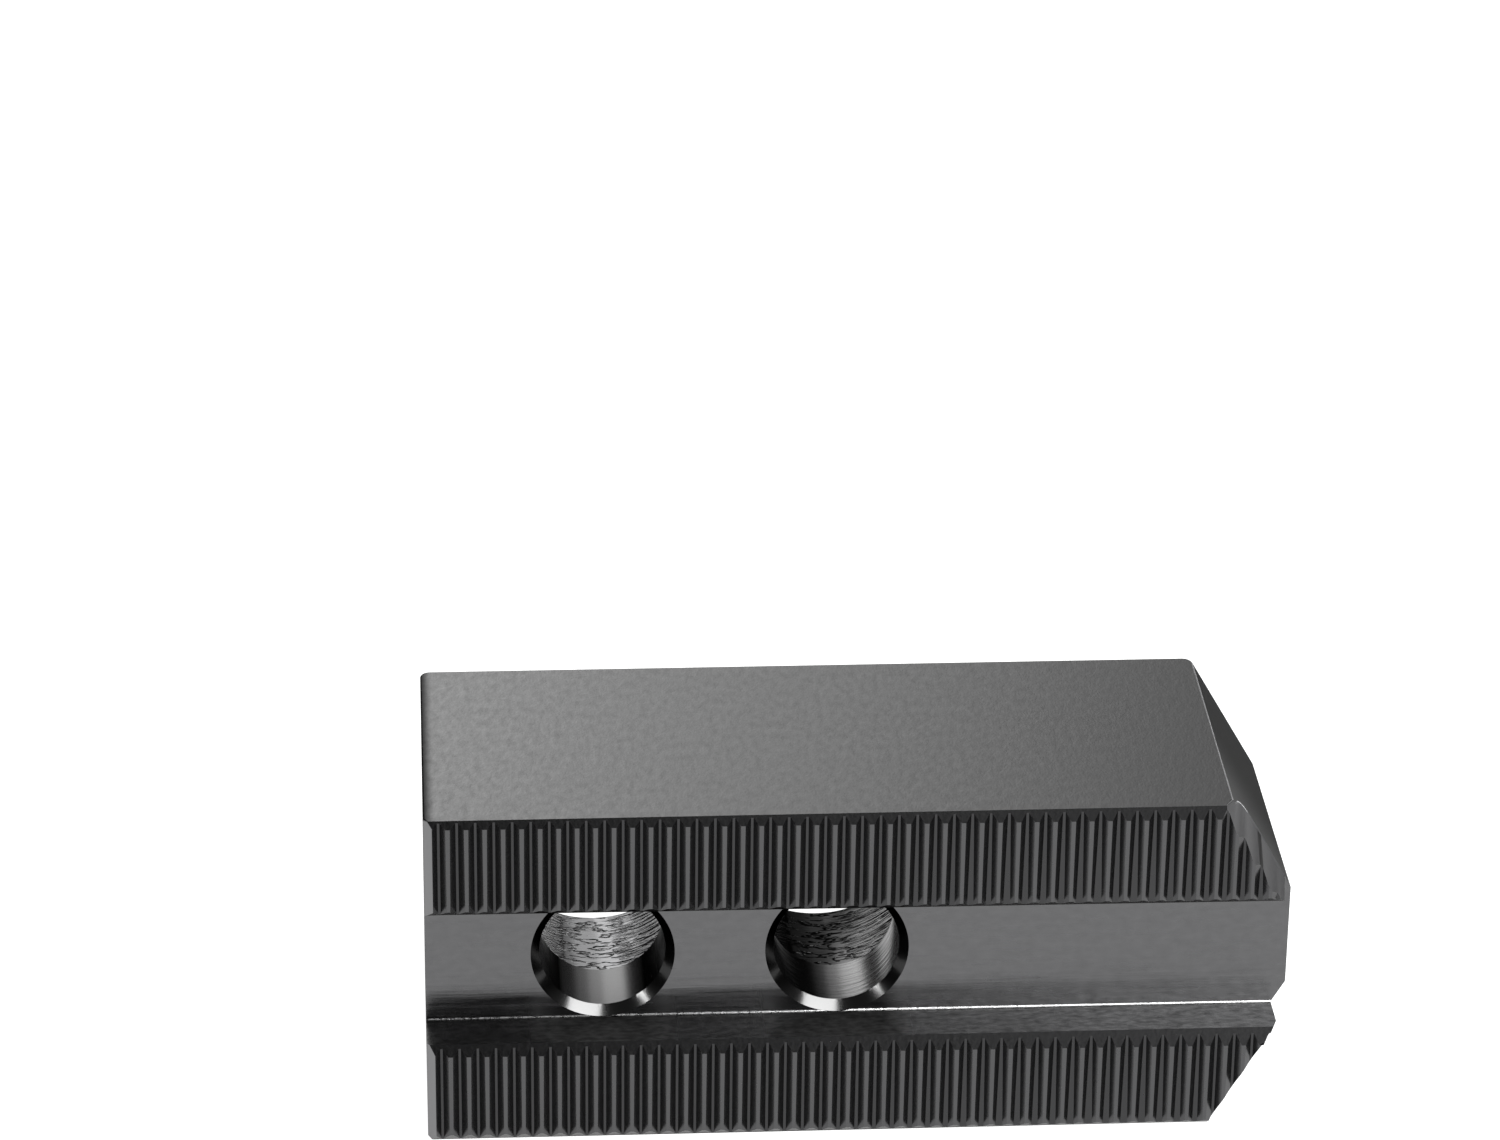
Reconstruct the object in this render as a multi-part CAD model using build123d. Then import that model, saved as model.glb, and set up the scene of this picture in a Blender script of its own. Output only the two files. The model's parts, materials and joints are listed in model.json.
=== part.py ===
from build123d import *
import math
import os

# Hard top jaw for a lathe chuck, machined from one bar of tool steel and left black.
# It lies on one long side, as it would be put down on a bench.
# X runs from the rear face to the nose, Y from the serrated ribs to the back, and Z across the width.
# The origin is on the surface that the jaw lies on, under the middle of the bar.

# Driving dimensions, in millimetres and degrees, with the inch sizes that the jaw is made to
JAW_LENGTH = 76.2  # 3 in
JAW_WIDTH = 31.75  # 1 1/4 in
JAW_HEIGHT = 29.37  # 1 5/32 in

# The nose comes to a blunt point: a flat between two faces that lean back from it.
# The flat sits a little above the middle of the width.
NOSE_FLAT = 9.525  # 3/8 in
NOSE_LEAN = 30.0
NOSE_OFFSET = 0.5

# The groove takes the tongue of the master jaw, and a rib stands on each side of it.
GROOVE_WIDTH = 12.7  # 1/2 in
GROOVE_DEPTH = 5.2
GROOVE_CORNER_RADIUS = 0.2

# The serrations mesh with those of the master jaw.
SERRATION_PITCH = 1.5875  # 1/16 in
SERRATION_ANGLE = 90.0
CREST_FLAT = 0.30
ROOT_FLAT = 0.22

# Two cap screws hold the jaw down, with their heads sunk in counterbores in the back.
BOLT_SPACING = 20.6375  # 13/16 in
REAR_TO_FIRST_BOLT = 15.58
BOLT_BORE = 11.1125  # 7/16 in
BORE_MOUTH_CHAMFER = 0.78
COUNTERBORE = 19.05  # 3/4 in
COUNTERBORE_DEPTH = 17.33
COUNTERBORE_CHAMFER = 0.7

# The long edges of the ribs are chamfered, and their ends have steeper bevels.
# A bevel's width lies in the plane of the crests, and its depth goes into the jaw.
RIB_CHAMFER = 0.79375  # 1/32 in
REAR_BEVEL_WIDTH = 0.8
REAR_BEVEL_DEPTH = 1.2
LOWER_NOSE_BEVEL_WIDTH = 0.56
UPPER_NOSE_BEVEL_WIDTH = 1.0
NOSE_BEVEL_DEPTH = 1.8

# The two ends are rounded where they meet the back. The other outer edges are only broken.
END_ROUND = 0.9
EDGE_BREAK = 0.2

# How far a cutter reaches past the surface that it starts from
CUT_CLEARANCE = 0.5

# Places worked out from the sizes above
REAR_X = -JAW_LENGTH / 2
NOSE_X = JAW_LENGTH / 2
CREST_Y = -JAW_HEIGHT / 2
BACK_Y = JAW_HEIGHT / 2
MID_Z = JAW_WIDTH / 2
FLOOR_Y = CREST_Y + GROOVE_DEPTH
CHAMFER_Y = CREST_Y + RIB_CHAMFER
GROOVE_LOW_Z = MID_Z - GROOVE_WIDTH / 2
GROOVE_HIGH_Z = MID_Z + GROOVE_WIDTH / 2
LEAN = math.radians(NOSE_LEAN)
NOSE_LOW_Z = MID_Z + NOSE_OFFSET - NOSE_FLAT / 2
NOSE_HIGH_Z = MID_Z + NOSE_OFFSET + NOSE_FLAT / 2
LOWER_SHOULDER_X = NOSE_X - NOSE_LOW_Z * math.tan(LEAN)
UPPER_SHOULDER_X = NOSE_X - (JAW_WIDTH - NOSE_HIGH_Z) * math.tan(LEAN)
FIRST_BOLT_X = REAR_X + REAR_TO_FIRST_BOLT
TOLERANCE = 1e-5


def edges_at(face, axis, place):
    """The edges of a face that lie wholly at one place along an axis."""
    return [
        edge
        for edge in face.edges()
        if all(abs(Vector(vertex).dot(axis.direction) - place) < TOLERANCE for vertex in edge.vertices())
    ]


def bar():
    """The section seen from an end, along the whole length: two ribs with a groove between them."""
    outline = [
        (BACK_Y, 0),
        (BACK_Y, JAW_WIDTH),
        (CHAMFER_Y, JAW_WIDTH),
        (CREST_Y, JAW_WIDTH - RIB_CHAMFER),
        (CREST_Y, GROOVE_HIGH_Z + RIB_CHAMFER),
        (CHAMFER_Y, GROOVE_HIGH_Z),
        (FLOOR_Y, GROOVE_HIGH_Z),
        (FLOOR_Y, GROOVE_LOW_Z),
        (CHAMFER_Y, GROOVE_LOW_Z),
        (CREST_Y, GROOVE_LOW_Z - RIB_CHAMFER),
        (CREST_Y, RIB_CHAMFER),
        (CHAMFER_Y, 0),
    ]
    section = make_face(Polyline(*outline, close=True))
    groove_corners = [corner for corner in section.vertices() if abs(corner.X - FLOOR_Y) < TOLERANCE]
    section = fillet(groove_corners, GROOVE_CORNER_RADIUS)
    return extrude(Plane.YZ.offset(REAR_X) * section, amount=JAW_LENGTH)


def plan():
    """The outline seen from the serrated side, through the whole height: square rear, blunt nose."""
    outline = [
        (REAR_X, 0),
        (LOWER_SHOULDER_X, 0),
        (NOSE_X, NOSE_LOW_Z),
        (NOSE_X, NOSE_HIGH_Z),
        (UPPER_SHOULDER_X, JAW_WIDTH),
        (REAR_X, JAW_WIDTH),
    ]
    return extrude(Plane.XZ.offset(-BACK_Y) * make_face(Polyline(*outline, close=True)), amount=JAW_HEIGHT)


def bevel_rib_ends(jaw):
    """Steep bevels where the crests of the ribs end, at the rear face and at both faces of the nose."""
    rear = jaw.faces().sort_by(Axis.X)[0]
    jaw = chamfer(edges_at(rear, Axis.Y, CREST_Y), REAR_BEVEL_DEPTH, REAR_BEVEL_WIDTH, reference=rear)
    for side, width in ((-1, LOWER_NOSE_BEVEL_WIDTH), (1, UPPER_NOSE_BEVEL_WIDTH)):
        outward = Vector(math.cos(LEAN), 0, side * math.sin(LEAN))
        nose_face = jaw.faces().sort_by(lambda face: face.normal_at().dot(outward))[-1]
        jaw = chamfer(edges_at(nose_face, Axis.Y, CREST_Y), NOSE_BEVEL_DEPTH, width, reference=nose_face)
    return jaw


def round_back_ends(jaw):
    """Rounds where the rear face, the nose faces and the nose flat meet the back."""
    back = jaw.faces().sort_by(Axis.Y)[-1]
    sides = edges_at(back, Axis.Z, 0) + edges_at(back, Axis.Z, JAW_WIDTH)
    ends = [edge for edge in back.edges() if edge not in sides]
    return fillet(ends, END_ROUND)


def break_edges(jaw):
    """Small rounds round each long side, up to its chamfer on the rib, and down both edges of the nose flat."""
    for side in (Axis.Z, -Axis.Z):
        face = jaw.faces().sort_by(side)[-1]
        chamfered = edges_at(face, Axis.Y, CHAMFER_Y)
        jaw = fillet([edge for edge in face.edges() if edge not in chamfered], EDGE_BREAK)
    nose = jaw.faces().sort_by(Axis.X)[-1]
    upright = edges_at(nose, Axis.Z, NOSE_LOW_Z) + edges_at(nose, Axis.Z, NOSE_HIGH_Z)
    return fillet(upright, EDGE_BREAK)


def bolt_hole():
    """Cutter for one screw: chamfered mouth in the groove floor, bore, seat, and counterbore from the back."""
    seat_y = BACK_Y - COUNTERBORE_DEPTH
    bore = BOLT_BORE / 2
    mouth = bore + BORE_MOUTH_CHAMFER
    pocket = COUNTERBORE / 2
    rim = pocket + COUNTERBORE_CHAMFER
    outline = [
        (0, FLOOR_Y - CUT_CLEARANCE),
        (mouth, FLOOR_Y - CUT_CLEARANCE),
        (mouth, FLOOR_Y),
        (bore, FLOOR_Y + BORE_MOUTH_CHAMFER),
        (bore, seat_y),
        (pocket, seat_y),
        (pocket, BACK_Y - COUNTERBORE_CHAMFER),
        (rim, BACK_Y),
        (rim, BACK_Y + CUT_CLEARANCE),
        (0, BACK_Y + CUT_CLEARANCE),
    ]
    return revolve(make_face(Polyline(*outline, close=True)), Axis.Y)


def serration():
    """Cutter for one serration: a V with a narrow flat at its root, right across the width."""
    flank = (SERRATION_PITCH - CREST_FLAT - ROOT_FLAT) / 2
    root_y = CREST_Y + flank / math.tan(math.radians(SERRATION_ANGLE / 2))
    half_root = ROOT_FLAT / 2
    half_mouth = half_root + flank
    outline = [
        (-half_root, root_y),
        (half_root, root_y),
        (half_mouth, CREST_Y),
        (half_mouth, CREST_Y - CUT_CLEARANCE),
        (-half_mouth, CREST_Y - CUT_CLEARANCE),
        (-half_mouth, CREST_Y),
    ]
    section = Plane.XY.offset(-CUT_CLEARANCE) * make_face(Polyline(*outline, close=True))
    return extrude(section, amount=JAW_WIDTH + 2 * CUT_CLEARANCE)


def serrate(jaw):
    """Cut the row of serrations. One root lies on the first screw's centre line, and the rest follow by pitch."""
    first = math.ceil((REAR_X - FIRST_BOLT_X) / SERRATION_PITCH)
    last = math.floor((NOSE_X - FIRST_BOLT_X) / SERRATION_PITCH)
    cutter = serration()
    return jaw - [Pos(FIRST_BOLT_X + step * SERRATION_PITCH, 0, 0) * cutter for step in range(first, last + 1)]


def top_jaw():
    """The whole jaw, in the order in which it is machined."""
    jaw = bar() & plan()
    jaw = bevel_rib_ends(jaw)
    jaw = round_back_ends(jaw)
    jaw = break_edges(jaw)
    cutter = bolt_hole()
    for bolt_x in (FIRST_BOLT_X, FIRST_BOLT_X + BOLT_SPACING):
        jaw -= Pos(bolt_x, 0, MID_Z) * cutter
    return serrate(jaw)


os.makedirs("parts", exist_ok=True)
jaw = top_jaw()
export_step(jaw, "parts/top_jaw.step")
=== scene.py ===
import json
import math
import random

import bmesh
import bpy
from mathutils import Matrix, Vector


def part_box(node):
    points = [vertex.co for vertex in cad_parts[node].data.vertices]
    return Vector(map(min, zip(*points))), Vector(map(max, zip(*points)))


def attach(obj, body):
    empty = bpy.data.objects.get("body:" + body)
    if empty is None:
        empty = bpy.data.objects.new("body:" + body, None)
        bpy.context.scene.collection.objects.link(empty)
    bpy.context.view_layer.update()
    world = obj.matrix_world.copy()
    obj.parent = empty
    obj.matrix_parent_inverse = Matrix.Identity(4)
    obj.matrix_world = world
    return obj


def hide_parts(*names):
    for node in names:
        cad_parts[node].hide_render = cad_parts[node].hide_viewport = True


# The looks of a hard chuck top jaw in black oxide, lying on its side on a white studio table.
# Lengths are in millimetres up to where they reach the scene, which is in metres.
MM = 0.001

# The camera, fitted to the jaw's edges in the photograph. Angles are in degrees.
CAMERA_AT = (-38.710, -436.351, 257.999)
CAMERA_AZIMUTH = -3.8530
CAMERA_ELEVATION = 25.6052
CAMERA_ROLL = 0.6797
LENS = 133.838
SENSOR = 36.0

# The jaw's section, teeth, nose and hole chamfers, as in its source
WIDTH = 31.75
CREST_Y = -14.685
GROOVE = (9.525, 22.225)
FLOOR_Y = -9.485
RIB_CHAMFER = 0.794
PITCH = 1.5875
ROOT_DEPTH = 0.53375
HALF_CREST = 0.15
NOSE_LEAN = 30.0
NOSE_BEVEL_DEPTH = 1.8
MOUTH_CHAMFER = 0.78
RIM_CHAMFER = 0.7

# How the solid's mesh is cleaned up: the distance under which vertices are joined, the angle under
# which faces are joined, the angle over which an edge is sharp, and the cuts in each facet of a hole
WELD = 0.001
FLAT_ANGLE = 0.2
SHARP_ANGLE = 40.0
HOLE_CUTS = 3

# How near a vertex has to be to a place to count as on it: tightly, and more loosely
NEAR = 0.01
LOOSE = 0.02

# The serrations' roots run out wider at the lower end of each rib, most of all at one place along X,
# and each by a share of its own. Their crests are a little wider at the upper end.
SEED = 7
RUN_OUT = 0.2
RUN_OUT_AT = 20.0
RUN_OUT_SPREAD = 17.0
RUN_OUT_SHARES = (0.75, 1.2)
RUN_OUT_DRAWS = 64
CREST_GROWTH = 0.04

# The long edges of the ribs were dressed by hand. Each has its height in Z, the way into the rib,
# the chamfer's width at the rear and at the nose, how far its lower line lies into the rib there,
# and its depth.
RIB_EDGES = (
    (WIDTH, -1, (0.51, 1.04), (0.0, 0.0), 0.71),
    (GROOVE[1], 1, (0.96, 0.65), (0.28, -0.05), 0.80),
    (GROOVE[0], -1, (0.81, 1.44), (0.0, 0.0), 0.80),
    (0.0, 1, (0.79, 0.53), (0.0, 0.0), 0.66),
)

# A vertex that is at least this deep on a chamfer lies on its lower line.
LOWER_LINE = 0.95 * RIB_CHAMFER

# The bevel on the upper face of the nose was ground deeper by hand, from just under the side:
# the height where this starts, how far below that it is deepest, how much deeper it is there,
# the cuts that let it bow, and how far its faces look ahead, to the front and up at the least
GROUND_START = 31.3
GROUND_REACH = 4.4
GROUND_DEEPER = 4.6
GROUND_CUTS = 15
GROUND_LOOKS = (0.6, -0.3, 0.3)

# The edge of that bevel is worn round: how wide, and how far below its upper end this starts
WORN_WIDTH = 0.1
WORN_START = 0.4

# Facets of a small round along an edge are longer than the one and narrower than the other.
ROUND_LENGTH = 3.0
ROUND_WIDTH = 0.18

# Limits between the finishes: how far each reaches past its own bounds, how far below the crests
# bevels are found, how far below the upper rib the upper side of the nose starts, and the area
# in square millimetres under which a face there counts as small
SLACK = 0.05
BEVEL_REACH = 4.5
NOSE_REACH = 0.5
SMALL_FACE = 0.5

# More limits, on parts of a face's normal. In this order they tell flat faces from rounds, crests
# and roots from flanks, sides and back from ends, bevels from chamfers, the nose's face from its
# worn edges, teeth from chamfers, faces of the nose from the others, bevelled faces from upright
# ones, and ridges from worn edges.
STRAIGHT = 0.97
LEVEL = 0.9
MAINLY = 0.8
AHEAD = 0.6
ABOVE = 0.55
ASIDE = 0.35
FORWARD = 0.2
TILTED = 0.12
BARELY = 0.05

# Detail and roughness of the noise behind every grain, and the range that its values mostly keep to
DETAIL = 3.0
NOISE_ROUGHNESS = 0.55
GRAIN_RANGE = (0.3, 0.7)

# Blackened steel is a little bluer than grey.
BLUER = 1.02

# Where two colours go into a mix, and where they come out of it
MIX_NEAR = 6
MIX_FAR = 7
MIX_RESULT = 2

# Directions in which a material's tone or marks change
NOSEWARD = (1, 0, 0)
REARWARD = (-1, 0, 0)
BACKWARD = (0, 1, 0)
UPWARD = (0, 0, 1)

# The groove's wall, rougher and with painted shade beside the holes, where the holes' reflections
# would show: the two distances from a hole's axis between which this fades in, how much rougher it is
# there, and the tone's share in the painted shade
WALL_TONE = 0.09
WALL_ROUGHNESS = 0.24
BESIDE_HOLE_REACH = (-7.0, -3.5)
BESIDE_HOLE_ROUGHER = 0.55
PAINTED_SHADE_SHARE = 0.3

# The marks torn into the counterbores: each has its grain lengths and detail, and its depth.
# Tears are there below the first of two levels of the grain, and gone above the second.
TORN_ROUGHNESS = 0.2
TEARS = ((2.2, 0.8, 2.2), 2.0)
TEAR_LEVELS = (0.5, 0.8)
LONG_GROOVES = ((9.0, 0.5, 9.0), 2.0)
LONG_GROOVE_DEPTH = 0.4
CRUMBS = ((0.6, 0.35, 0.6), 3.0)
CRUMB_DEPTH = 0.7
SCRATCHES = ((2.5, 0.25, 2.5), 3.0)
SCRATCH_DEPTH = 0.02

# Where the long grooves and the crumbs set in: a direction and two places from the hole's axis
GROOVED = ((1, 0.15, 0), 2.0, 4.5)
CRUMBLED = (REARWARD, 2.6, 4.6)

# The tone of the black skin, and marks and mottles that several finishes share
SKIN = 0.088
SATIN = [((0.2, 0.35, 0.2), 0.016), ((0.6, 1.2, 0.6), 0.014)]
GROUND = [((0.5, 0.5, 0.5), 0.004)]
CUT = (0.25, 0.25, 1.6)
CUT_MOTTLE = ((1.7, 2.0, 2.0), 0.14)

# The table, with half its side in metres
TABLE_HALF = 3.0
TABLE_TONE = 0.3
TABLE_ROUGHNESS = 0.9
TABLE_GLOW = 1.02

# The lights, with their lengths in metres: the room's own light, the point that the soft boxes face,
# and for each box its name, place, width and height, and the brightness of its surface
ROOM_LIGHT = 0.08
AIM = (0, 0, 0.02)
SOFT_BOXES = (
    ("key", (0.38, -0.40, 0.82), (0.66, 0.60), 10),
    ("kicker", (-0.70, -0.34, 0.50), (0.14, 0.14), 14),
    ("front", (0.20, -0.45, 0.27), (0.28, 0.30), 14),
)

# The boxes behind the jaw all start at one place on the left, and each ends at its own on the right,
# with its own brightness. The longer ones stand a little further away.
BEHIND_LEFT = -0.152
BEHIND_AWAY = 0.32
BEHIND_STEP = 0.02
BEHIND_UP = 0.20
BEHIND_AIM = 0.04
BEHIND_HEIGHT = 0.28
BEHIND_BOXES = (
    ("behind", 0.132, 0.6),
    ("behind_middle", 0.06, 1.1),
    ("behind_rear", -0.02, 1.25),
)

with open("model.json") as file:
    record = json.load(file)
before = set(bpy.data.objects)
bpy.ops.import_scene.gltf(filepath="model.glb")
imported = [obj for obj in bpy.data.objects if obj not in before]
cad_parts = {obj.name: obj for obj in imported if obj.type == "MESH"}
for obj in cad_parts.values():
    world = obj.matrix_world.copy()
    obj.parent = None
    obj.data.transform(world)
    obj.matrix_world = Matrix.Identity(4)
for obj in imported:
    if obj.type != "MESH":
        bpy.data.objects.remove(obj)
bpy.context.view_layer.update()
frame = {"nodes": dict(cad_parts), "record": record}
LOW, HIGH = (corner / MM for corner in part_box("top_jaw"))

# A place along X that is a little behind the nose's shoulders
NOSE_START = HIGH.x - WIDTH / 2 * math.tan(math.radians(NOSE_LEAN))
rng = random.Random(SEED)


def hole(name):
    """A bore's axis in X and Z, its span along Y and its radius."""
    entry = next(entry for entry in frame["record"]["mounts"] if entry["name"] == name)
    x, y, z = (value / MM for value in entry["pos_m"])
    half = entry["dims"]["length_mm"] / 2
    return {"x": x, "z": z, "low": y - half, "high": y + half, "radius": entry["dims"]["r_mm"]}


# The two screw holes: each has its bore, its counterbore and the finishes of both
REAR_BORE = hole("rear_screw_bore")
FRONT_BORE = hole("front_screw_bore")
REAR_POCKET = hole("rear_counterbore")
FRONT_POCKET = hole("front_counterbore")
HOLES = (
    (REAR_BORE, REAR_POCKET, "rear_bore", "torn"),
    (FRONT_BORE, FRONT_POCKET, "front_bore", "crumbled"),
)


def radius_in(place, point):
    """How far a point lies from a hole's axis."""
    return math.hypot(point.x / MM - place["x"], point.z / MM - place["z"])


def round_hole(bm, bore, pocket):
    """Finer facets all the way through a screw hole, on the true radius."""
    rings = (
        (FLOOR_Y, bore["radius"] + MOUTH_CHAMFER),
        (bore["low"], bore["radius"]),
        (bore["high"], bore["radius"]),
        (pocket["low"], pocket["radius"]),
        (pocket["high"], pocket["radius"]),
        (HIGH.y, pocket["radius"] + RIM_CHAMFER),
    )

    def ring_of(vertex):
        away = radius_in(bore, vertex.co)
        for height, radius in rings:
            if abs(vertex.co.y / MM - height) < NEAR and abs(away - radius) < NEAR:
                return height, radius
        return None

    around = []
    for edge in bm.edges:
        first, second = (ring_of(vertex) for vertex in edge.verts)
        if first and first == second:
            around.append(edge)
    new = bmesh.ops.subdivide_edges(bm, edges=around, cuts=HOLE_CUTS, use_grid_fill=True)
    centre = Vector((bore["x"] * MM, 0, bore["z"] * MM))
    for vertex in {item for item in new["geom_inner"] if isinstance(item, bmesh.types.BMVert)}:
        found = radius_in(bore, vertex.co)
        here = [radius for height, radius in rings if abs(vertex.co.y / MM - height) < NEAR]
        radius = min(here, key=lambda radius: abs(radius - found))
        away = Vector((vertex.co.x, 0, vertex.co.z)) - centre
        place = centre + away.normalized() * radius * MM
        vertex.co.x = place.x
        vertex.co.z = place.z


def shape_serrations(bm):
    """Roots that run out wider towards the lower end of each rib, and crests that widen upwards."""
    root_y = CREST_Y + ROOT_DEPTH
    lower_ends = (RIB_CHAMFER - ROOT_DEPTH, GROOVE[1] + RIB_CHAMFER - ROOT_DEPTH)
    upper_crest_ends = (GROOVE[0] - RIB_CHAMFER, WIDTH - RIB_CHAMFER)
    # Roots behind the first hole take their shares from the end of this list.
    own = [rng.uniform(*RUN_OUT_SHARES) for _ in range(RUN_OUT_DRAWS)]
    for vertex in bm.verts:
        x, y, z = (value / MM for value in vertex.co)
        step = (x - REAR_BORE["x"]) / PITCH
        if abs(y - root_y) < NEAR and any(abs(z - end) < LOOSE for end in lower_ends):
            off = (step - round(step)) * PITCH
            near = math.exp(-(((x - RUN_OUT_AT) / RUN_OUT_SPREAD) ** 2))
            lift = RUN_OUT * near * own[round(step)]
            vertex.co.x += math.copysign(lift, off) * MM
            vertex.co.y -= lift * MM
            vertex.co.z += lift * MM
        if abs(y - CREST_Y) < NEAR and any(abs(z - end) < LOOSE for end in upper_crest_ends):
            off = (step - math.floor(step) - 0.5) * PITCH
            if abs(abs(off) - HALF_CREST) < LOOSE:
                vertex.co.x += math.copysign(CREST_GROWTH, off) * MM


def dress_rib_edges(bm):
    """Give each chamfer along the ribs its own widths, from the rear to the nose, and its own depth."""
    for vertex in bm.verts:
        x, y, z = (value / MM for value in vertex.co)
        depth_here = y - CREST_Y
        for edge_z, into, widths, lifts, depth in RIB_EDGES:
            offset = (z - edge_z) * into
            if depth_here > RIB_CHAMFER + NEAR or abs(offset + depth_here - RIB_CHAMFER) > LOOSE:
                continue
            along = (x - LOW.x) / (HIGH.x - LOW.x)
            width = widths[0] + (widths[1] - widths[0]) * along
            lift = lifts[0] + (lifts[1] - lifts[0]) * along
            if depth_here > min(depth, LOWER_LINE):
                depth_here = depth
            part = depth_here / depth
            vertex.co.y = (CREST_Y + depth_here) * MM
            vertex.co.z = (edge_z + into * (width * (1 - part) + lift * part)) * MM
            break


def deeper(z):
    """How much deeper the upper bevel of the nose is ground at a height."""
    below = max(0.0, GROUND_START - z) / GROUND_REACH
    return GROUND_DEEPER * below * math.exp(1 - below)


def grind_nose(bm):
    """Bow the line where the upper bevel meets the nose, and wear that edge."""
    lean = math.radians(NOSE_LEAN)
    outward = Vector((math.cos(lean), 0, math.sin(lean)))
    reach = max(vertex.co.dot(outward) for vertex in bm.verts)
    ahead, front, up = GROUND_LOOKS

    def on_line(vertex):
        depth = vertex.co.y / MM - CREST_Y
        on_nose = reach - vertex.co.dot(outward) < LOOSE * MM
        return abs(depth - NOSE_BEVEL_DEPTH) < LOOSE and on_nose

    def on_bevel(face):
        return face.normal.x > ahead and face.normal.y < front and face.normal.z > up

    line = sorted((vertex for vertex in bm.verts if on_line(vertex)), key=lambda vertex: vertex.co.z)
    low, high = line[0].co.copy(), line[-1].co.copy()
    for step in range(1, GROUND_CUTS + 1):
        band = [face for face in bm.faces if on_bevel(face)]
        parts = {part for face in band for part in (face, *face.edges, *face.verts)}
        place = low.lerp(high, step / (GROUND_CUTS + 1))
        bmesh.ops.bisect_plane(bm, geom=list(parts), plane_co=place, plane_no=high - low)
    ground = [vertex for vertex in bm.verts if on_line(vertex)]
    for vertex in ground:
        vertex.co.y += deeper(vertex.co.z / MM) * MM
    bowed = [vertex for vertex in ground if vertex.co.z < high.z - WORN_START * MM]
    worn = [edge for edge in bm.edges if all(vertex in bowed for vertex in edge.verts)]
    bmesh.ops.bevel(
        bm,
        geom=worn,
        offset=WORN_WIDTH * MM,
        offset_type="OFFSET",
        segments=2,
        profile=0.5,
        affect="EDGES",
        clamp_overlap=False,
    )


def is_round(face):
    """Whether a face is a facet of a small round along an edge."""
    longest = max(edge.calc_length() for edge in face.edges)
    return longest > ROUND_LENGTH * MM and face.calc_area() < ROUND_WIDTH * MM * longest


def hole_zone(middle, normal):
    """The finish of a face in a screw hole, or None outside both."""
    y = middle.y / MM
    for bore, pocket, bored, torn in HOLES:
        away = radius_in(bore, middle)
        in_pocket = away < pocket["radius"] + RIM_CHAMFER + SLACK
        if in_pocket and pocket["low"] - SLACK < y < HIGH.y - SLACK:
            return torn if y < pocket["high"] else "mouth"
        if away < bore["radius"] + SLACK and y > bore["low"] + LOOSE:
            return bored
        in_mouth = away < bore["radius"] + MOUTH_CHAMFER + SLACK
        if in_mouth and FLOOR_Y - LOOSE < y < bore["low"] + SLACK and abs(normal.y) < STRAIGHT:
            return "mouth"
    return None


def groove_zone(normal):
    """The finish of a face in the groove."""
    if normal.y < -STRAIGHT:
        return "floor"
    return "wall" if abs(normal.z) > STRAIGHT else "corner"


def tooth_zone(y, normal):
    """The finish of a face of the serrations."""
    if normal.y > -LEVEL:
        return "flank"
    return "root" if y > CREST_Y + ROOT_DEPTH / 2 else "crest"


def nose_zone(face, y, bevelled):
    """The finish of a face on the upper side of the nose."""
    small = is_round(face) or face.calc_area() < SMALL_FACE * MM * MM
    if small and y > CREST_Y + NOSE_BEVEL_DEPTH + SLACK:
        return "ridge" if face.normal.y < -BARELY else "worn"
    if bevelled:
        return "ground" if face.normal.x > AHEAD else "worn"
    return "worn" if face.normal.z > ABOVE else "nose"


def zone(face):
    """Which finish a face has, from where it lies and the way it looks."""
    middle = face.calc_center_median()
    normal = face.normal
    x, y, z = (value / MM for value in middle)
    in_hole = hole_zone(middle, normal)
    if in_hole:
        return in_hole
    in_groove = GROOVE[0] - SLACK < z < GROOVE[1] + SLACK
    if in_groove and y < FLOOR_Y + SLACK:
        return groove_zone(normal)
    across_rib = abs(normal.z) < ASIDE and abs(normal.x) < MAINLY
    if across_rib and not in_groove and y < CREST_Y + ROOT_DEPTH + LOOSE:
        return tooth_zone(y, normal)
    bevelled = y < CREST_Y + BEVEL_REACH and -LEVEL < normal.y < -TILTED
    if x > NOSE_START and z > GROOVE[1] - NOSE_REACH and normal.x > FORWARD:
        return nose_zone(face, y, bevelled)
    if bevelled:
        return "bevel" if abs(normal.x) > AHEAD else "chamfer"
    if abs(normal.z) > MAINLY:
        return "side"
    return "back" if normal.y > MAINLY else "end"


def link(name, data):
    """A new object in the scene."""
    made = bpy.data.objects.new(name, data)
    bpy.context.scene.collection.objects.link(made)
    return made


def add(tree, kind, links=(), **values):
    """A shader node with its settings, its input values and its incoming links."""
    node = tree.nodes.new(kind)
    for name, value in values.items():
        setattr(node, name, value)
    for socket, source in links:
        if hasattr(source, "is_output"):
            tree.links.new(source, node.inputs[socket])
        else:
            node.inputs[socket].default_value = source
    return node


def grain(tree, length, detail=DETAIL):
    """Noise with its own feature length in millimetres along each axis."""
    place = add(tree, "ShaderNodeTexCoord")
    scale = tuple(1 / (value * MM) for value in length)
    mapped = add(tree, "ShaderNodeMapping", [("Vector", place.outputs["Object"]), ("Scale", scale)])
    speckle = add(
        tree,
        "ShaderNodeTexNoise",
        [("Vector", mapped.outputs[0]), ("Scale", 1.0), ("Detail", detail), ("Roughness", NOISE_ROUGHNESS)],
    )
    return speckle.outputs[0]


def remap(tree, value, before, after, **settings):
    """A value moved from one range to another."""
    sockets = [
        ("Value", value),
        ("From Min", before[0]),
        ("From Max", before[1]),
        ("To Min", after[0]),
        ("To Max", after[1]),
    ]
    return add(tree, "ShaderNodeMapRange", sockets, **settings).outputs[0]


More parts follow.
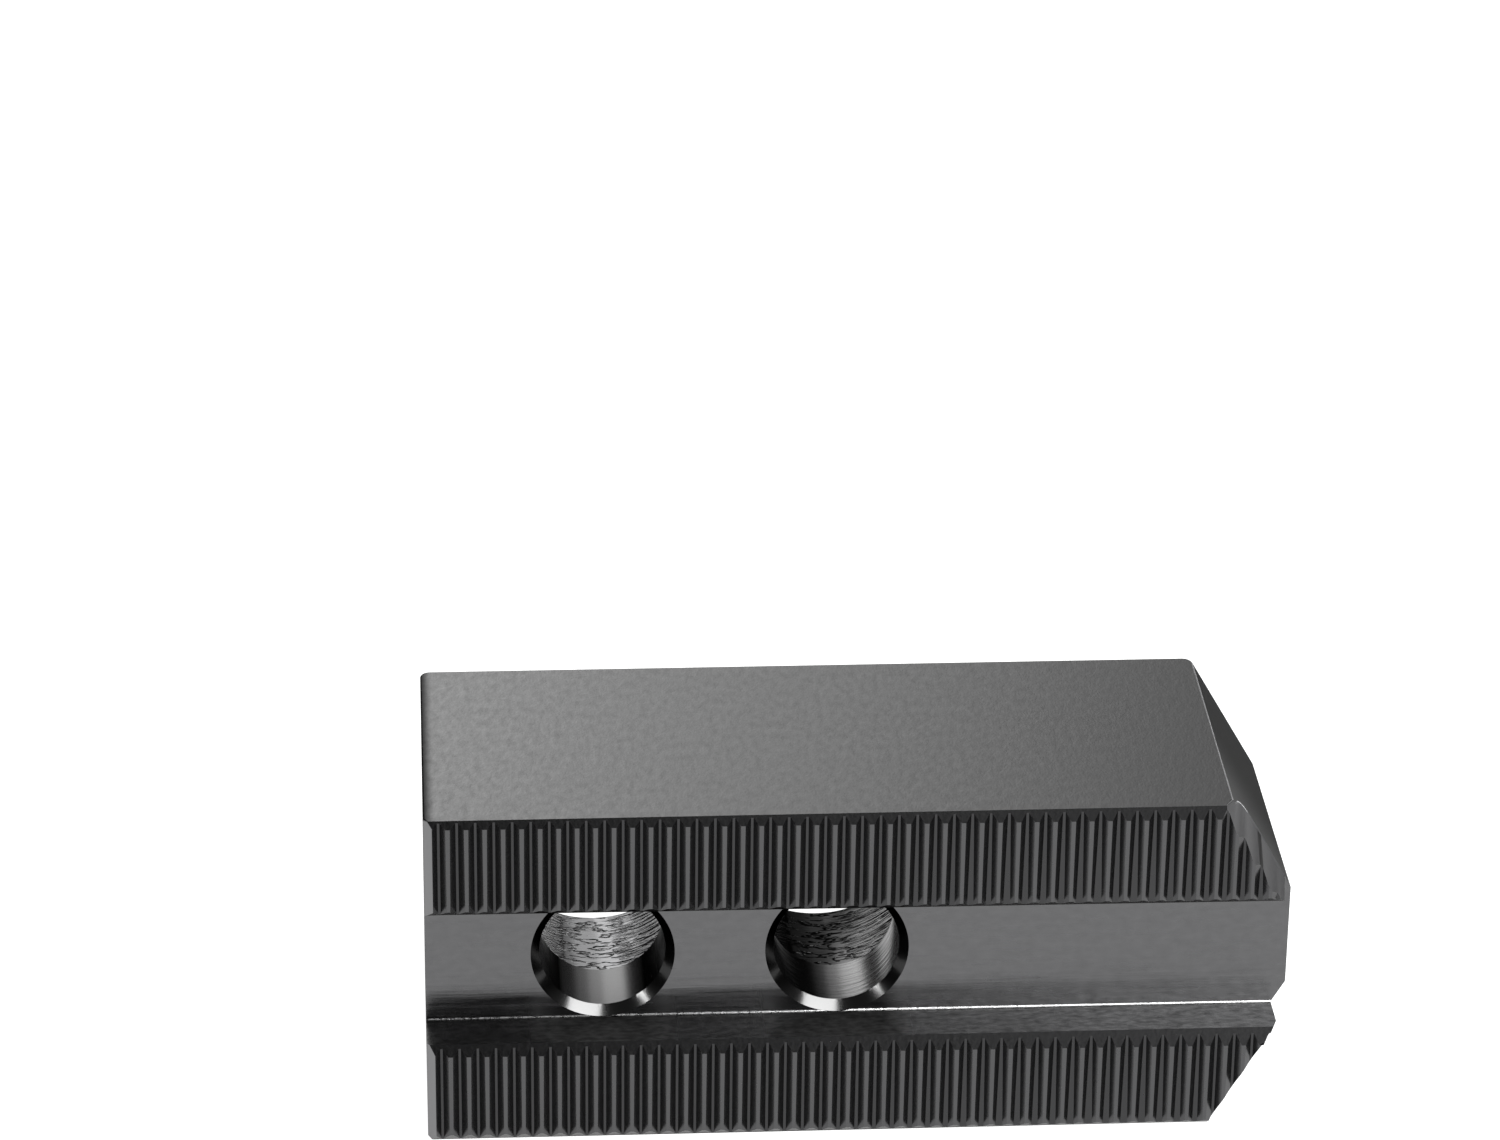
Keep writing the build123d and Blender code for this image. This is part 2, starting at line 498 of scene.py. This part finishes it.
def ramp(tree, toward, start, end):
    """A smooth rise from 0 to 1 between two places along a direction. Places are in millimetres."""
    place = add(tree, "ShaderNodeTexCoord")
    along = add(
        tree,
        "ShaderNodeVectorMath",
        [(0, place.outputs["Object"]), (1, tuple(value / MM for value in toward))],
        operation="DOT_PRODUCT",
    )
    return remap(tree, along.outputs["Value"], (start, end), (0.0, 1.0), interpolation_type="SMOOTHSTEP")


def from_axis(place, toward, start, end):
    """A direction and two places along it, with the places counted from a hole's axis."""
    axis = toward[0] * place["x"]
    return toward, start + axis, end + axis


def math_node(tree, operation, *values):
    """A sum or product of values."""
    return add(tree, "ShaderNodeMath", list(enumerate(values)), operation=operation).outputs[0]


def mixed(tree, factor, near, far, **settings):
    """Two colours mixed by a factor."""
    sockets = [("Factor", factor), (MIX_NEAR, near), (MIX_FAR, far)]
    return add(tree, "ShaderNodeMix", sockets, data_type="RGBA", **settings).outputs[MIX_RESULT]


def grey(value):
    """A colour with equal parts of red, green and blue."""
    return value, value, value, 1


def emboss(tree, bumps):
    """Lay bumps over each other on a material's surface. Each is a height and its depth in millimetres."""
    below = None
    for height, depth in bumps:
        bump = add(
            tree,
            "ShaderNodeBump",
            [("Height", height), ("Strength", 1.0), ("Distance", depth * MM)],
        )
        if below:
            tree.links.new(below, bump.inputs["Normal"])
        below = bump.outputs[0]
    if below:
        tree.links.new(below, tree.nodes["Principled BSDF"].inputs["Normal"])


def steel(name, tone, roughness, marks=(), mottle=None, edge_tint=1.0, painted_shade=None):
    """Blackened steel. Marks are bumps: grain lengths and a depth. Mottle is grain lengths and a swing
    of roughness. Painted shade darkens its tone and edge tint along a direction: the direction, two
    places along it, and the tone's share at the second."""
    material = bpy.data.materials.new(name)
    material.use_nodes = True
    tree = material.node_tree
    shader = tree.nodes["Principled BSDF"]
    shader.inputs["Base Color"].default_value = (tone, tone, tone * BLUER, 1)
    shader.inputs["Metallic"].default_value = 1.0
    shader.inputs["Roughness"].default_value = roughness
    shader.inputs["Specular Tint"].default_value = grey(edge_tint)
    if mottle:
        lengths, swing = mottle
        around = (roughness - swing, roughness + swing)
        rough = remap(tree, grain(tree, lengths), GRAIN_RANGE, around)
        tree.links.new(rough, shader.inputs["Roughness"])
    # Painted shade: the tone and the edge tint darken along a direction.
    if painted_shade:
        toward, start, end, share = painted_shade
        factor = ramp(tree, toward, start, end)
        for socket, value in (("Base Color", tone), ("Specular Tint", edge_tint)):
            colour = mixed(tree, factor, grey(value), grey(value * share))
            tree.links.new(colour, shader.inputs[socket])
    emboss(tree, [(grain(tree, lengths), depth) for lengths, depth in marks])
    return material


def stain(material, lengths, swing):
    """Give a material an uneven tone, in patches with their own length along each axis."""
    tree = material.node_tree
    socket = tree.nodes["Principled BSDF"].inputs["Base Color"]
    clean = socket.links[0].from_socket if socket.is_linked else tuple(socket.default_value)
    patches = remap(tree, grain(tree, lengths), GRAIN_RANGE, (1 - swing, 1 + swing))
    tree.links.new(mixed(tree, 1.0, clean, patches, blend_type="MULTIPLY"), socket)
    return material


def rough_wall_with_painted_shade():
    """The milled wall of the groove, rougher beside the two screw holes and darkened there by painted
    shade.
    """
    material = steel("milled_wall", WALL_TONE, WALL_ROUGHNESS, [((6, 0.25, 0.25), 0.014)])
    tree = material.node_tree
    shader = tree.nodes["Principled BSDF"]
    near = 0.0
    for bore in (REAR_BORE, FRONT_BORE):
        from_rear = ramp(tree, *from_axis(bore, NOSEWARD, *BESIDE_HOLE_REACH))
        from_nose = ramp(tree, *from_axis(bore, REARWARD, *BESIDE_HOLE_REACH))
        near = math_node(tree, "ADD", math_node(tree, "MULTIPLY", from_rear, from_nose), near)
    rougher = math_node(tree, "MULTIPLY_ADD", near, BESIDE_HOLE_ROUGHER, WALL_ROUGHNESS)
    tree.links.new(rougher, shader.inputs["Roughness"])
    # Painted shade: the wall's tone darkens beside each hole, to hide the holes' reflections in it.
    tone = mixed(tree, near, grey(WALL_TONE), grey(WALL_TONE * PAINTED_SHADE_SHARE))
    tree.links.new(tone, shader.inputs["Base Color"])
    return material


def torn_steel(name, tone, pocket, tear_depth, painted_shade=None):
    """The torn wall of a counterbore: short tears all over, long grooves on its nose side and crumbs
    on the other."""
    material = steel(name, tone, TORN_ROUGHNESS, painted_shade=painted_shade)
    tree = material.node_tree
    flat = remap(tree, grain(tree, *TEARS), GRAIN_RANGE, (0.0, 1.0))
    tears = remap(tree, flat, TEAR_LEVELS, (1.0, 0.0), interpolation_type="SMOOTHSTEP")
    grooved = ramp(tree, *from_axis(pocket, *GROOVED))
    grooves = math_node(tree, "MULTIPLY", grain(tree, *LONG_GROOVES), grooved)
    crumbled = ramp(tree, *from_axis(pocket, *CRUMBLED))
    crumbs = math_node(tree, "MULTIPLY", grain(tree, *CRUMBS), crumbled)
    scratches = grain(tree, *SCRATCHES)
    bumps = (
        (tears, tear_depth),
        (grooves, LONG_GROOVE_DEPTH),
        (crumbs, CRUMB_DEPTH),
        (scratches, SCRATCH_DEPTH),
    )
    emboss(tree, bumps)
    return material


# The finish of every kind of face, several of them with painted shade
FINISHES = {
    "side": steel(
        "satin_side",
        tone=SKIN,
        roughness=0.36,
        marks=SATIN,
        mottle=((0.6, 1.2, 0.6), 0.06),
        # Painted shade: darker over the last millimetre or so at the rear end, standing in for the shading
        # of a rounded edge.
        painted_shade=(REARWARD, 37.0, 38.1, 0.38),
    ),
    "floor": stain(
        steel(
            "milled_floor",
            tone=0.1,
            roughness=0.22,
            marks=[((7, 0.2, 0.2), 0.006)],
            mottle=((9, 0.5, 0.5), 0.1),
        ),
        lengths=(1.2, 0.5, 0.7),
        swing=0.06,
    ),
    "wall": stain(rough_wall_with_painted_shade(), lengths=(0.9, 0.4, 0.4), swing=0.5),
    "corner": steel(
        "bare_corner",
        tone=0.3,
        roughness=0.3,
        marks=[((0.5, 0.5, 0.5), 0.03)],
        mottle=((0.7, 9, 9), 0.25),
        # Painted shade: the corner's highlight is dimmed towards the rear.
        painted_shade=(REARWARD, 1.0, 21.0, 0.3),
    ),
    "crest": steel("cut_crest", tone=0.075, roughness=0.24, marks=[(CUT, 0.005)], mottle=CUT_MOTTLE),
    "flank": steel("cut_flank", tone=0.06, roughness=0.22, marks=[(CUT, 0.002)]),
    "root": steel("cut_root", tone=0.042, roughness=0.24, marks=[(CUT, 0.004)], mottle=CUT_MOTTLE),
    "chamfer": steel("cut_chamfer", tone=0.0055, roughness=0.34, marks=[((0.4, 0.4, 0.4), 0.02)]),
    "bevel": steel("ground_bevel", tone=0.13, roughness=0.3, marks=GROUND),
    "ground": steel("ground_nose_bevel", tone=0.11, roughness=0.6, marks=GROUND, edge_tint=0.6),
    "nose": steel(
        "sawn_nose",
        tone=SKIN,
        roughness=0.42,
        marks=[((0.3, 0.3, 0.3), 0.004)],
        edge_tint=0.3,
        # Painted shade: the nose's face darkens towards the back, standing in for a darker reflection
        # there.
        painted_shade=(BACKWARD, -12.0, 4.0, 0.5),
    ),
    "worn": steel("worn_edge", tone=0.5, roughness=0.42, marks=[((0.6, 0.6, 0.6), 0.02)]),
    "ridge": steel("ground_ridge", tone=0.13, roughness=0.6, marks=GROUND, edge_tint=0.6),
    "end": steel("sawn_end", tone=SKIN, roughness=0.42, marks=[((0.3, 2.0, 0.3), 0.004)], edge_tint=0.1),
    "rear_bore": steel(
        "drilled_bore",
        tone=SKIN,
        roughness=0.26,
        marks=[((1.5, 0.3, 1.5), 0.002)],
        # Painted shade: the bore is darkened above its lowest strip, standing in for dark reflections in
        # its sides.
        painted_shade=(UPWARD, 10.6, 11.9, 0.33),
    ),
    "front_bore": steel(
        "scored_bore",
        tone=0.14,
        roughness=0.26,
        marks=[((4, 0.35, 4), 0.03)],
        # Painted shade: the bore is darkened on its rear side, standing in for dark reflections there.
        painted_shade=(*from_axis(FRONT_BORE, REARWARD, -3.0, 2.5), 0.33),
    ),
    # Painted shade: the mouth's ring is darkened above its lowest part, which keeps its bright reflection.
    "mouth": steel("worn_mouth", tone=0.085, roughness=0.15, painted_shade=(UPWARD, 11.2, 12.6, 0.35)),
    "torn": torn_steel("torn_counterbore", tone=SKIN * 1.6, pocket=REAR_POCKET, tear_depth=0.13),
    "crumbled": torn_steel(
        "crumbled_counterbore",
        tone=SKIN * 1.1,
        pocket=FRONT_POCKET,
        tear_depth=0.2,
        # Painted shade: darker towards the rear, on a slant across the counterbore, standing in for dark
        # reflections there.
        painted_shade=((-1, 0.231, 0), -1.5, 3.5, 0.34),
    ),
    "back": steel("satin_back", tone=SKIN, roughness=0.36, marks=SATIN, mottle=((1.0, 1.0, 1.0), 0.07)),
}
ZONES = tuple(FINISHES)

# The finishes of curved faces
CURVED = ("corner", "rear_bore", "front_bore", "mouth", "torn", "crumbled")


def shade(bm):
    """Give each face its finish. Holes, groove corners, small rounds and the bowed bevel are smooth,
    and all else is flat."""
    bowed = set()
    for face in bm.faces:
        finish = zone(face)
        face.material_index = ZONES.index(finish)
        face.smooth = is_round(face) or (finish in CURVED and abs(face.normal.y) < STRAIGHT)
        if finish == "ground":
            face.smooth = True
            bowed.add(face)
    for edge in bm.edges:
        steep = edge.calc_face_angle(0) > math.radians(SHARP_ANGLE)
        rounded = not steep or all(is_round(face) for face in edge.link_faces)
        within_bow = bowed.issuperset(edge.link_faces)
        edge.smooth = within_bow or (rounded and bowed.isdisjoint(edge.link_faces))


def settle_order(bm):
    """Put the faces, which the cuts leave in a chance order, in one that is the same in every run."""
    bm.verts.index_update()
    in_order = sorted(bm.faces, key=lambda face: sorted(vertex.index for vertex in face.verts))
    places = {face: place for place, face in enumerate(in_order)}
    bm.faces.sort(key=places.get)


def visual_mesh():
    """The solid with whole flat faces, round holes and a finish on every face."""
    bm = bmesh.new()
    bm.from_mesh(frame["nodes"]["top_jaw"].data)
    bmesh.ops.remove_doubles(bm, verts=bm.verts, dist=WELD * MM)
    bmesh.ops.dissolve_limit(bm, angle_limit=math.radians(FLAT_ANGLE), verts=bm.verts, edges=bm.edges)
    shape_serrations(bm)
    dress_rib_edges(bm)
    grind_nose(bm)
    for bore, pocket, _, _ in HOLES:
        round_hole(bm, bore, pocket)
    settle_order(bm)
    bm.normal_update()
    shade(bm)
    mesh = bpy.data.meshes.new("jaw_body")
    bm.to_mesh(mesh)
    bm.free()
    for name in ZONES:
        mesh.materials.append(FINISHES[name])
    return mesh


def white_table():
    """The pale floor that the jaw lies on."""
    corners = [(x * TABLE_HALF, y * TABLE_HALF, 0) for x, y in ((-1, -1), (1, -1), (1, 1), (-1, 1))]
    mesh = bpy.data.meshes.new("table")
    mesh.from_pydata(corners, [], [(0, 1, 2, 3)])
    table = link("table", mesh)
    material = bpy.data.materials.new("white_paper")
    material.use_nodes = True
    shader = material.node_tree.nodes["Principled BSDF"]
    shader.inputs["Base Color"].default_value = grey(TABLE_TONE)
    shader.inputs["Roughness"].default_value = TABLE_ROUGHNESS
    shader.inputs["Specular IOR Level"].default_value = 0.0
    shader.inputs["Emission Color"].default_value = grey(1)
    shader.inputs["Emission Strength"].default_value = TABLE_GLOW
    mesh.materials.append(material)


def soft_light(name, at, aim, size, radiance):
    """A soft box that faces a point, with a given brightness of its surface."""
    data = bpy.data.lights.new(name, "AREA")
    data.shape = "RECTANGLE"
    data.size, data.size_y = size
    data.energy = radiance * math.pi * size[0] * size[1]
    light = link(name, data)
    light.location = at
    light.rotation_euler = (Vector(at) - Vector(aim)).to_track_quat("Z", "Y").to_euler()
    light.visible_camera = False


def studio():
    """A dim room, a key from the upper right, a small kicker from the left, a box beside the camera,
    and three overlapping boxes close behind that fade towards the nose."""
    world = bpy.data.worlds.new("studio")
    bpy.context.scene.world = world
    world.use_nodes = True
    world.node_tree.nodes["Background"].inputs["Color"].default_value = grey(1)
    world.node_tree.nodes["Background"].inputs["Strength"].default_value = ROOM_LIGHT
    for name, at, size, radiance in SOFT_BOXES:
        soft_light(name, at, AIM, size, radiance)
    for name, right, radiance in BEHIND_BOXES:
        width = right - BEHIND_LEFT
        middle = width / 2 + BEHIND_LEFT
        at = (middle, BEHIND_AWAY + BEHIND_STEP * right, BEHIND_UP)
        soft_light(name, at, (middle, 0, BEHIND_AIM), (width, BEHIND_HEIGHT), radiance)


def camera():
    """The camera at the photograph's place."""
    azimuth = math.radians(CAMERA_AZIMUTH)
    elevation = math.radians(CAMERA_ELEVATION)
    level = Vector((math.cos(azimuth), math.sin(azimuth), 0))
    ahead = Vector((-math.sin(azimuth), math.cos(azimuth), 0)) * math.cos(elevation)
    ahead.z = -math.sin(elevation)
    turn = Matrix((level, level.cross(ahead), -ahead)).transposed().to_4x4()
    roll = Matrix.Rotation(math.radians(CAMERA_ROLL), 4, "Z")
    data = bpy.data.cameras.new("camera")
    data.lens = LENS
    data.sensor_width = SENSOR
    data.sensor_fit = "HORIZONTAL"
    made = link("camera", data)
    made.matrix_world = Matrix.Translation(Vector(CAMERA_AT) * MM) @ turn @ roll
    bpy.context.scene.camera = made


camera()
jaw = link("jaw_body", visual_mesh())
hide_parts("top_jaw")
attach(jaw, "root")
white_table()
studio()
bpy.context.scene.view_settings.view_transform = "Standard"
